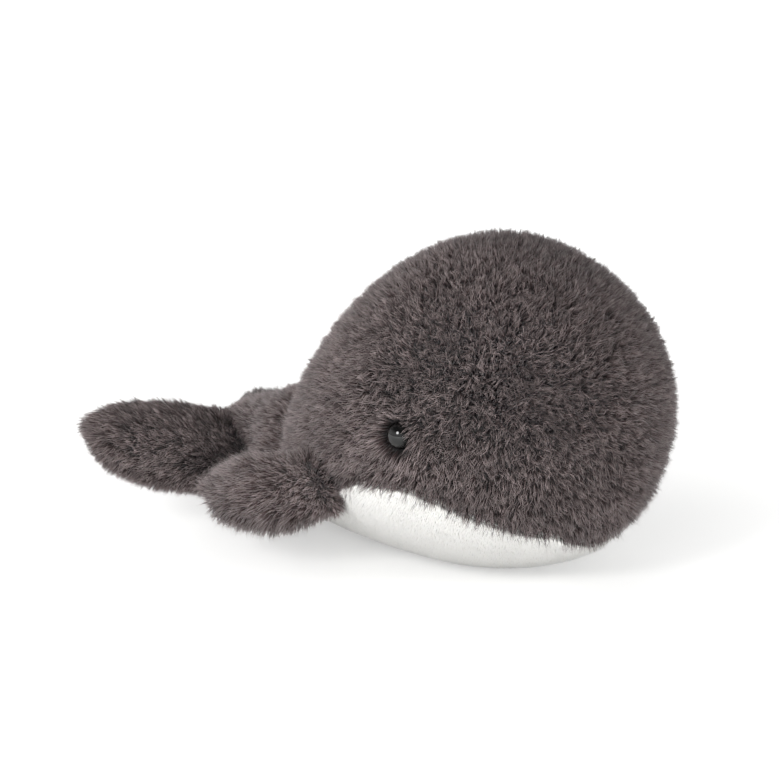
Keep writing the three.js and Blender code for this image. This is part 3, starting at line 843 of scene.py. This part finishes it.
def strand_mesh(name, base, mids, tips, width, tones, material):
    """Closed three-sided strands, each with a bend and a fine tip."""
    count = len(base)
    forward = unit(mids - base)
    across = unit(np.cross(forward, rng.normal(0, 1, (count, 3))))
    around = spokes(across, np.cross(forward, across), 3)
    widths = width * (1 + WIDTH_JITTER * rng.normal(0, 1, (count, 1)))
    rings = [base + spoke * widths / 2 for spoke in around]
    rings += [mids + spoke * widths * MIDDLE_WIDTH / 2 for spoke in around]
    vertices = np.stack([*rings, tips], 1)
    vertices[..., 2] = np.maximum(vertices[..., 2], FLOOR_ROOM)
    mesh = bpy.data.meshes.new(name)
    mesh.vertices.add(count * STRAND_POINTS)
    mesh.vertices.foreach_set("co", to_frame(vertices.reshape(-1, 3)).astype(np.float32).ravel())
    corners = (np.arange(count)[:, None] * STRAND_POINTS + CORNERS).ravel().astype(np.int32)
    mesh.loops.add(len(corners))
    mesh.loops.foreach_set("vertex_index", corners)
    sizes = np.tile(FACE_SIZES, count)
    mesh.polygons.add(len(sizes))
    mesh.polygons.foreach_set("loop_start", (np.cumsum(sizes) - sizes).astype(np.int32))
    mesh.polygons.foreach_set("use_smooth", np.ones(len(sizes), bool))
    mesh.update(calc_edges=True)
    uv = mesh.uv_layers.new(name="OFBake")
    inner = 1 - 2 * UV_EDGE
    across_u = np.clip(tones, UV_EDGE, inner)[:, None] + UV_EDGE * CORNER_U
    along_v = np.broadcast_to(CORNER_V * inner + UV_EDGE, across_u.shape)
    uv.data.foreach_set("uv", np.stack([across_u, along_v], -1).astype(np.float32).ravel())
    mesh.materials.append(material)
    return new_object(name, mesh)


def grow_pile(name, sheet, spec, material, body, keep, groom):
    """The strands of one panel, in as many pieces as they need."""
    roots, normals, nap = scatter(sheet, spec["density"])
    kept = keep(roots)
    roots, normals, nap = roots[kept], normals[kept], nap[kept]
    base, mids, tips, nearest = pile(roots, normals, nap, spec, *groom(roots, normals))
    count = len(base)
    tones = spec["tone"] + TONE_STRAND * rng.normal(0, 1, count)
    tones += TONE_SLOW * slow_noise(roots, *TONE_WAVE)
    tones += TONE_TUFT * rng.normal(0, 1, count)[nearest]
    pieces = max(1, math.ceil(count / STRANDS_PER_PIECE))
    order = np.argsort(base[:, 0], kind="stable")
    for number, chosen in enumerate(np.array_split(order, pieces), 1):
        piece = strand_mesh(f"{name}_pile_{number}", base[chosen], mids[chosen], tips[chosen],
                            spec["width"], tones[chosen], material)
        finish_piece(piece, body, name)


def plain_groom(roots, normals):
    """Length share, extra lean and calm of each strand where nothing changes them."""
    return np.ones(len(roots)), np.zeros((len(roots), 3)), np.zeros(len(roots))


def from_eye(roots):
    """Direction and distance from the eye on the same side."""
    away = roots - eye_point * FLIPS["left" if roots[:, 1].mean() > 0 else "right"]
    return unit(away), np.linalg.norm(away, axis=1)


def body_groom(roots, normals):
    """The pile parts round the eye, hangs over the belly seam and leans back at chin and tail."""
    away, far = from_eye(roots)
    ahead = smooth((away[:, 0] + 1) / 2)
    near = np.exp(-(np.maximum(far - EYE_RADIUS, 0) / DIMPLE_REACH) ** 2)
    chin = smooth((roots[:, 0] - SEAM_CHIN_X) / CHIN_FADE_BACK)
    chin = chin * (1 - smooth((roots[:, 2] - CHIN_HEIGHT) / CHIN_FADE_UP))
    over_seam = 1 - smooth((roots[:, 2] - seam_height(roots[:, 0])) / SEAM_FRINGE_REACH)
    over_seam = over_seam * (1 - chin)
    ragged = 1 + SEAM_RAGGED * rng.normal(0, 1, len(roots))
    to_socket = np.linalg.norm(roots - TAIL_SOCKET, axis=1) - TAIL_ROOT_RADIUS
    lean = away * (near * lerp(EYE_LEAN_BEHIND, 0, ahead))[:, None]
    lean[:, 2] -= SEAM_FRINGE_LEAN * over_seam * ragged
    lean[:, 0] -= CHIN_LEAN * chin + SOCKET_LEAN * (1 - smooth(to_socket / SOCKET_FADE))
    longer = near * EYE_TALL_AHEAD * ahead + SEAM_FRINGE * over_seam - CHIN_SHORTER * chin
    return 1 + longer, lean, near


def limb_groom(limb, axes, side):
    """A fringe at the tip of a limb and along its underside."""
    def groom(roots, normals):
        out = in_limb_frame(roots * FLIPS[side], axes)[:, 0]
        tip = smooth((out / limb["length"] - FRINGE["tip_from"]) / (1 - FRINGE["tip_from"]))
        below = smooth((-normals[:, 2] - FRINGE["below_from"]) / FRINGE["below_over"])
        below = below * smooth(out / FRINGE["root_clear"])
        drop = (below + FRINGE["tip_drop"] * tip)[:, None] * (0, 0, -FRINGE["drop"])
        return 1 + FRINGE["tip"] * tip + FRINGE["below"] * below, drop, np.zeros(len(roots))
    return groom


def plush_panel(node, sheet, spec, body, keep, groom, knit=grey_knit_painted_shade, material=grey_pile_with_shaded_roots):
    shell = knit_shell(f"{node}_knit", sheet, spec["depth"], knit)
    finish_piece(shell, body, node)
    grow_pile(node, sheet, spec, material, body, keep, groom)


# Body, tail, flippers and flukes

def clear_of_root(name, side):
    """Tells which points lie outside a limb's round root."""
    limb, axes = LIMBS[name], limb_axes[name][side]

    def clear(roots):
        local = in_limb_frame(roots * FLIPS[side], axes)
        across = (local[:, 0] ** 2 + local[:, 2] ** 2) / (limb["root_thick"] - INTO_ROOT) ** 2
        return across + local[:, 1] ** 2 / (limb["root_chord"] - INTO_ROOT) ** 2 >= 1
    return clear


def build_body():
    clear = {side: clear_of_root("flipper", side) for side in SIDES}
    for side in SIDES:
        def shown(roots, root_clear=clear[side]):
            return root_clear(roots) & (from_eye(roots)[1] > EYE_RADIUS + EYE_BARE_EDGE)

        plush_panel(f"side_panel_{side}", on_side(side_panel(), side), PILES["body"], "body",
                    shown, body_groom)
    plush_panel("belly_panel", belly(), PILES["belly"], "body",
                lambda roots: clear["right"](roots) & clear["left"](roots), plain_groom,
                white_knit, white_pile)


def build_tail():
    for side in SIDES:
        def shown(roots, root_clear=clear_of_root("fluke", side)):
            return (body_fullness(roots, -INTO_SOCKET) > 1) & root_clear(roots)

        plush_panel(f"tail_panel_{side}", on_side(tail_panel(), side), PILES["tail"], "tail",
                    shown, plain_groom)


def build_limb(name, side, fullness):
    limb, axes = LIMBS[name], limb_axes[name][side]

    def shown(roots):
        right = roots * FLIPS[side]
        outside = fullness(right, -INTO_CARRIER) > 1
        return outside & (in_limb_frame(right, axes)[:, 0] > -BEHIND_HINGE)

    for part, upper in (("upper", True), ("under", False)):
        sheet = on_side(limb_side(limb, axes, upper), side)
        plush_panel(f"{name}_{part}_{side}", sheet, PILES[name], f"{name}_{side}", shown,
                    limb_groom(limb, axes, side))


# Eyes and washers

def turned(name, profile, sides, material, side):
    """A turned piece about the eye's axis from radius and height pairs: a ring, or capped."""
    across = unit(np.cross(eye_out, (0, 0, 1)))
    around = spokes(across, np.cross(eye_out, across), sides)
    points = np.array([[eye_point + eye_out * height + spoke * radius for spoke in around]
                       for radius, height in profile])
    return closed_grid(name, points * FLIPS[side], material, capped=profile[0] != profile[-1])


def eye_profile():
    base = EYE_STAND_OUT - EYE_DOME
    end = WASHER_BACK - SHANK_BEHIND_WASHER
    height = end + SHANK_TIP
    groove = SHANK_RADIUS * SHANK_GROOVE
    profile = [(SHANK_RADIUS * 0.5, end), (SHANK_RADIUS * 0.9, height)]
    while height + SHANK_RING < base - SHANK_RING / 2:
        for radius, share in ((SHANK_RADIUS, 0.35), (SHANK_RADIUS, 0.7), (groove, 0.85), (groove, 1)):
            profile.append((radius, height + SHANK_RING * share))
        height += SHANK_RING
    profile += [(SHANK_RADIUS, base), (EYE_RADIUS * 0.93, base),
                (EYE_RADIUS * 0.985, base + EYE_EDGE * 0.48)]
    for angle in quarter(19)[:-1].tolist():
        rise = (EYE_DOME - EYE_EDGE) * math.sin(angle)
        profile.append((EYE_RADIUS * math.cos(angle), base + EYE_EDGE + rise))
    return profile + [(0.02, EYE_STAND_OUT)]


def washer_profile():
    hole = SHANK_RADIUS + SEAM_GAP
    rim = WASHER_RADIUS - WASHER_RIM
    edge = WASHER_RADIUS - WASHER_EDGE
    points = [(hole, WASHER_BACK + 0.5), (hole + 0.5, WASHER_BACK + 0.35),
              (rim - 0.3, WASHER_BACK + 0.45), (rim, WASHER_BACK), (edge, WASHER_BACK),
              (WASHER_RADIUS, WASHER_BACK + WASHER_EDGE), (WASHER_RADIUS, WASHER_TOP - WASHER_EDGE),
              (edge, WASHER_TOP), (hole, WASHER_TOP)]
    return points + [points[0]]


def build_eyes():
    for side in SIDES:
        eye = turned(f"eye_{side}_dome", eye_profile(), 56, eye_black, side)
        finish_piece(eye, "body", f"eye_{side}")
        washer = turned(f"eye_washer_{side}_moulding", washer_profile(), 48, washer_plastic, side)
        finish_piece(washer, "body", f"eye_washer_{side}")


# Fill, pouch and pellets

def lumpy(points, normals, depth, size):
    flat = points.reshape(-1, 3)
    bump = sum(share * slow_noise(flat, size * scale, phase) for share, scale, phase in LUMP_WAVES)
    bump = bump.reshape(points.shape[:-1])
    return points - normals * (depth * (1 + bump) / 2)[..., None]


def finish_fill(made, body, node):
    finish_piece(made, body, node)


def build_stuffing():
    turn = full_turn(72)
    points = body_points(np.linspace(-1, FILL_END, 60)[:, None], turn)
    normals = grid_normals(points, (1, 0, 0))
    points = lumpy(points - normals * (BODY_PLUSH + SEAM_GAP), normals, *BODY_LUMPS)
    room = TAIL_BALL_RADIUS + SEAM_GAP
    front = TAIL_SOCKET + (room, 0, 0)
    closing = lerp(points[-1:], front, np.linspace(0, 1, 9)[1:, None, None])
    away = np.concatenate([points, closing]) - TAIL_SOCKET
    far = np.linalg.norm(away, axis=-1, keepdims=True)
    points = TAIL_SOCKET + away * np.maximum(far, room) / np.maximum(far, 1e-6)
    made = closed_grid("body_fibre_fill", points, fibre_fill)
    cut_room(made)
    finish_fill(made, "body", "body_stuffing")

    inset = LIMB_PLUSH + SEAM_GAP
    along = tail_distances(10, 20) * (1 - inset / TAIL_BALL_RADIUS)
    points = tail_points(along, turn, -inset)
    points = lumpy(points, grid_normals(points, (1, 0, 0), (-1, 0, 0)), *TAIL_LUMPS)
    finish_fill(closed_grid("tail_fibre_fill", points, fibre_fill), "tail", "tail_stuffing")

    for side in SIDES:
        for name, limb in LIMBS.items():
            axes = limb_axes[name][side]
            points = limb_points(limb, limb_places(8, 24), turn, -inset)
            points = lumpy(points, grid_normals(points, (-1, 0, 0), (1, 0, 0)), *LIMB_LUMPS)
            points = (points @ axes["axes"].T + axes["point"]) * FLIPS[side]
            made = closed_grid(f"{name}_fibre_fill_{side}", points, fibre_fill)
            finish_fill(made, f"{name}_{side}", f"{name}_stuffing_{side}")


def pouch_radius():
    _, half, middle, _, below = body_section(place_of(-POUCH_BEHIND), -BODY_PLUSH)
    share = (middle - POUCH_MIDDLE) / below
    inside = half * (1 - share ** LOWER_POWER) ** (1 / LOWER_POWER)
    return float(inside) - POUCH_RIM - POUCH_INSET


def cut_room(piece):
    """Cuts the room for the pouch and the washers out of the body's fill."""
    radius = pouch_radius() + POUCH_RIM + SEAM_GAP
    top = POUCH_MIDDLE + POUCH_HEIGHT / 2 + SEAM_GAP
    centre = to_frame((-POUCH_BEHIND, 0, top / 2 - ROOM_BELOW_POUCH / 2))
    bpy.ops.mesh.primitive_cylinder_add(vertices=64, radius=radius * MM,
                                        depth=(top + ROOM_BELOW_POUCH) * MM, location=centre)
    cutters = [bpy.context.object]
    for side in SIDES:
        centre = to_frame((eye_point - eye_out * (BODY_PLUSH + 1)) * FLIPS[side])
        bpy.ops.mesh.primitive_uv_sphere_add(segments=40, ring_count=20, location=centre,
                                             radius=(WASHER_RADIUS + ROOM_ROUND_WASHER) * MM)
        cutters.append(bpy.context.object)
    for cutter in cutters:
        cut = piece.modifiers.new("room", "BOOLEAN")
        cut.operation = "DIFFERENCE"
        cut.solver = "EXACT"
        cut.object = cutter
        bpy.context.view_layer.objects.active = piece
        bpy.ops.object.modifier_apply(modifier=cut.name)
        bpy.data.objects.remove(cutter)


def pouch_half(name, sign):
    """One cloth disc of the pouch: a domed bag half with a crimped rim."""
    radius = pouch_radius()
    rim = radius + POUCH_RIM
    out = rim * np.linspace(0, 1, 26)[:, None]
    turn = full_turn(96)
    bag = np.clip(out / radius, 0, 1)
    crimped = smooth((out - radius * 0.7) / (rim - radius * 0.7))
    pucker = PUCKER_HEIGHT * np.sin(turn * PUCKERS) * crimped
    low = (POUCH_HEIGHT / 2 - POUCH_CLOTH) * np.sqrt(1 - bag ** 2) + 0.35 + pucker * 0.5
    high = low + POUCH_CLOTH - PUCKER_HEIGHT
    layers = []
    for level in (high, low):
        x = out * np.cos(turn) - POUCH_BEHIND
        z = POUCH_MIDDLE + sign * np.maximum(level, SEAM_GAP / 2 + 0.02)
        layers.append(np.stack(np.broadcast_arrays(x, out * np.sin(turn), z), -1))
    return closed_grid(name, np.concatenate([layers[0], layers[1][::-1]]), pouch_cloth)


def build_pouch():
    for part, sign in (("upper", 1), ("lower", -1)):
        made = pouch_half(f"pellet_pouch_{part}_cloth", sign)
        finish_piece(made, "body", f"pellet_pouch_{part}")


def build_pellets():
    """Loose round grains, packed in rows and levels inside the pouch."""
    radius = pouch_radius() - POUCH_CLOTH - SEAM_GAP
    half = POUCH_HEIGHT / 2 - POUCH_CLOTH - SEAM_GAP
    step = PELLET_RADIUS * PELLET_APART
    wide = radius - PELLET_RADIUS
    tall = half - PELLET_RADIUS * 0.9
    grains = bmesh.new()
    for level, z in enumerate(np.arange(-half, half, step * 0.82)):
        for row, y in enumerate(np.arange(-radius, radius, step * 0.87)):
            for x in np.arange(-radius, radius, step) + (row % 2) * step / 2 + (level % 2) * step / 3:
                if (math.hypot(x, y) / wide) ** 2 + (z / tall) ** 2 > 1:
                    continue
                nudge = rng.normal(0, PELLET_NUDGE, 3)
                centre = to_frame(nudge + (x - POUCH_BEHIND, y, POUCH_MIDDLE + z))
                stretch = Matrix.Diagonal((1, 1, 0.82 + 0.1 * rng.random(), 1))
                turn = Matrix.Rotation(rng.random() * math.pi, 4, Vector(rng.normal(0, 1, 3)))
                bmesh.ops.create_icosphere(grains, subdivisions=2, radius=PELLET_RADIUS * MM * 0.96,
                                           matrix=Matrix.Translation(centre) @ turn @ stretch)
    mesh = bpy.data.meshes.new("pellet_fill_grains")
    grains.to_mesh(mesh)
    grains.free()
    mesh.polygons.foreach_set("use_smooth", [True] * len(mesh.polygons))
    mesh.materials.append(pellet_plastic)
    finish_piece(new_object("pellet_fill_grains", mesh), "body", "pellet_fill")


# Studio

def seen_rays(nodes, links):
    """1 for rays that show the surroundings: to the camera, in gloss or through glass."""
    path = new_node(nodes, "LightPath")
    total = path.outputs["Is Camera Ray"]
    for kind in ("Is Glossy Ray", "Is Transmission Ray"):
        either = new_node(nodes, "Math", operation="MAXIMUM")
        links.new(total, either.inputs[0])
        links.new(path.outputs[kind], either.inputs[1])
        total = either.outputs[0]
    return total


def build_floor():
    """A white table that keeps its shadows, with a glow that is dimmer near the middle as painted
    shadow round the whale and turns to pure white farther out.
    """
    bpy.ops.mesh.primitive_plane_add(size=TABLE_SIDE, location=(0, 0, 0))
    floor = bpy.context.object
    floor.name = "studio_floor"
    material, nodes, links, shader = new_material("studio_white_painted_shadow", {
        "Base Color": (*TABLE_WHITE, 1), "Roughness": 0.9, "Specular IOR Level": 0.0,
    })
    place = new_node(nodes, "TexCoord")
    far = new_node(nodes, "VectorMath", operation="LENGTH")
    links.new(place.outputs["Object"], far.inputs[0])
    share = new_node(nodes, "Math", {1: TABLE_REACH}, operation="DIVIDE")
    links.new(far.outputs["Value"], share.inputs[0])
    # The glow is least near the middle: painted shadow round the whale
    stops = [(away / TABLE_REACH, (white,) * 3) for away, white in TABLE_GLOW_WITH_PAINTED_SHADOW.items()]
    glow_with_painted_shadow = new_node(nodes, "Emission")
    links.new(ramp(nodes, links, share.outputs[0], stops), glow_with_painted_shadow.inputs["Color"])
    links.new(seen_rays(nodes, links), glow_with_painted_shadow.inputs["Strength"])
    both = new_node(nodes, "AddShader")
    links.new(shader.outputs[0], both.inputs[0])
    links.new(glow_with_painted_shadow.outputs[0], both.inputs[1])
    links.new(both.outputs[0], nodes["Material Output"].inputs["Surface"])
    floor.data.materials.append(material)


def build_world():
    world = bpy.data.worlds.new("studio")
    bpy.context.scene.world = world
    world.use_nodes = True
    nodes, links = world.node_tree.nodes, world.node_tree.links
    shown = nodes["Background"]
    shown.inputs["Color"].default_value = (1, 1, 1, 1)
    light = new_node(nodes, "Background")
    place = new_node(nodes, "TexCoord")
    split = new_node(nodes, "SeparateXYZ")
    links.new(place.outputs["Generated"], split.inputs[0])
    lit = {"To Min": WORLD_LIGHT_LOW, "To Max": WORLD_LIGHT_HIGH}
    dimmed = {"From Min": BACKDROP_TOP, "From Max": 2 * BACKDROP_TOP, "To Min": 1, "To Max": ROOM_ABOVE}
    for background, limits in ((light, lit), (shown, dimmed)):
        strength = new_node(nodes, "MapRange", limits)
        links.new(split.outputs["Z"], strength.inputs["Value"])
        links.new(strength.outputs["Result"], background.inputs["Strength"])
    pick = new_node(nodes, "MixShader")
    links.new(seen_rays(nodes, links), pick.inputs[0])
    links.new(light.outputs[0], pick.inputs[1])
    links.new(shown.outputs[0], pick.inputs[2])
    links.new(pick.outputs[0], nodes["World Output"].inputs["Surface"])


def build_lamps():
    for name, (place, size, power) in LAMPS.items():
        data = bpy.data.lights.new(name, "AREA")
        data.shape = "DISK"
        data.size = size
        data.energy = power
        made = new_object(name, data)
        made.location = place
        made.visible_glossy = name == "key"
        direction = Vector(LAMP_AIM) - Vector(place)
        made.rotation_euler = direction.to_track_quat("-Z", "Y").to_euler()


def build_camera():
    turn, rise = math.radians(CAMERA_TURN), math.radians(CAMERA_RISE)
    right = np.array([math.sin(turn), math.cos(turn), 0])
    level = np.array([math.cos(turn), -math.sin(turn), 0]) * math.cos(rise)
    back = level + (0, 0, math.sin(rise))
    up = np.cross(back, right)
    target = to_frame((-TARGET_BACK, 0, TARGET_HEIGHT))
    per_pixel = CAMERA_DISTANCE / FOCAL_PIXELS * MM
    aside = (TARGET_PIXEL[0] - PHOTO_SIDE / 2) * per_pixel
    below = (TARGET_PIXEL[1] - PHOTO_SIDE / 2) * per_pixel
    place = target - right * aside + up * below + back * CAMERA_DISTANCE * MM
    data = bpy.data.cameras.new("photo_camera")
    data.sensor_width = SENSOR_MM
    data.lens = FOCAL_PIXELS / PHOTO_SIDE * SENSOR_MM
    data.clip_start = 0.01
    camera = new_object("photo_camera", data)
    camera.matrix_world = Matrix([*np.stack([right, up, back, place], 1).tolist(), (0, 0, 0, 1)])
    bpy.context.scene.camera = camera


build_camera()
build_body()
build_tail()
for limbs_of in SIDES:
    build_limb("flipper", limbs_of, body_fullness)
    build_limb("fluke", limbs_of, tail_fullness)
build_eyes()
build_stuffing()
build_pouch()
build_pellets()
build_floor()
build_world()
build_lamps()

scene = bpy.context.scene
scene.view_settings.view_transform = "Standard"
